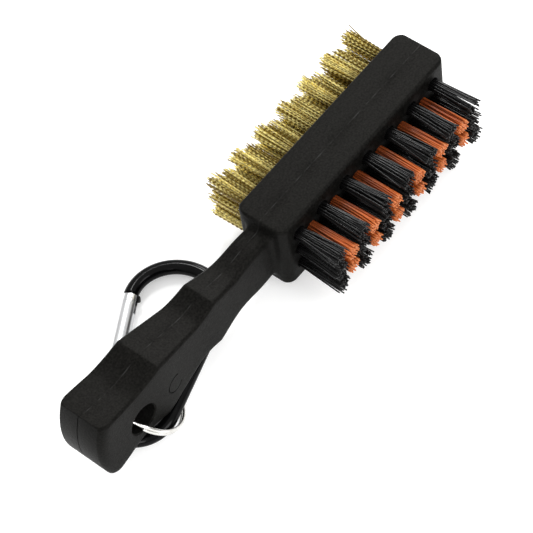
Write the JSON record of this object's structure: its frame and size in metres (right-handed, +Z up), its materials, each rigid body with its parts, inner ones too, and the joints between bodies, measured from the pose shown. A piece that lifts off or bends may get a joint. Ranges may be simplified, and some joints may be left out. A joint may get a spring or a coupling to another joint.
{
  "type": "golf club groove brush",
  "caption": "Two-sided hand brush for cleaning club grooves, with nylon and brass tufts on a straight moulded handle and a snap hook on a split ring.",
  "frame": {"origin": "centre of the head's flat underside, on which the brush lies", "axes": "+X along the brush to the head's tip, +Y to the brass side, +Z up from the underside"},
  "size_m": [0.1524, 0.0549, 0.0318],
  "materials": {
    "black_plastic": "fine moulded grain",
    "black_nylon": "satin nylon fibre",
    "orange_nylon": "satin nylon fibre",
    "brass_wire": "crimped wire",
    "ring_steel": "bright nickel plate",
    "black_anodised": "gloss black anodised",
    "gate_aluminium": "satin drawn tube",
    "spring_steel": "plain"
  },
  "bodies": {
    "brush": {"handle_body": "black_plastic", "brass_tufts_01": "brass_wire", "brass_tufts_02": "brass_wire", "brass_tufts_03": "brass_wire", "brass_tufts_04": "brass_wire", "brass_tufts_05": "brass_wire", "brass_tufts_06": "brass_wire", "brass_tufts_07": "brass_wire", "brass_tufts_08": "brass_wire", "brass_tufts_09": "brass_wire", "brass_tufts_10": "brass_wire", "brass_tufts_11": "brass_wire", "brass_tufts_12": "brass_wire", "brass_tufts_13": "brass_wire", "black_tufts_01": "black_nylon", "black_tufts_03": "black_nylon", "black_tufts_05": "black_nylon", "black_tufts_07": "black_nylon", "black_tufts_09": "black_nylon", "black_tufts_11": "black_nylon", "black_tufts_13": "black_nylon", "orange_tufts_02": "orange_nylon", "orange_tufts_04": "orange_nylon", "orange_tufts_06": "orange_nylon", "orange_tufts_08": "orange_nylon", "orange_tufts_10": "orange_nylon", "orange_tufts_12": "orange_nylon"},
    "ring": {"split_ring": "ring_steel"},
    "hook": {"carabiner_body": "black_anodised", "gate_hinge_rivet": "gate_aluminium"},
    "gate": {"carabiner_gate": "gate_aluminium", "gate_latch_pin": "spring_steel", "gate_plunger": "spring_steel", "gate_spring": "spring_steel"}
  },
  "joints": [
    {"name": "ring_swing", "type": "hinge", "parent": "brush", "child": "ring", "pos_m": [-0.0978, 0, 0.0107], "axis": [0, 1, 0], "range_deg": [0, 45]},
    {"name": "hook_turn", "type": "hinge", "parent": "ring", "child": "hook", "pos_m": [-0.08347, -0.00499, -0.00207], "axis": [-0.9558, -0.294, 0.0057], "range_deg": [0, 135]},
    {"name": "gate_swing", "type": "hinge", "parent": "hook", "child": "gate", "pos_m": [-0.09124, 0.01313, -0.00202], "axis": [-0.0059, 0, -1], "range_deg": [0, 28], "stiffness_Nm_per_rad": 0.04, "springref_deg": -28.65}
  ],
  "couplings": [
    {"joint": "ring_swing", "follows": "hook_turn", "ratio": 0.3333}
  ]
}
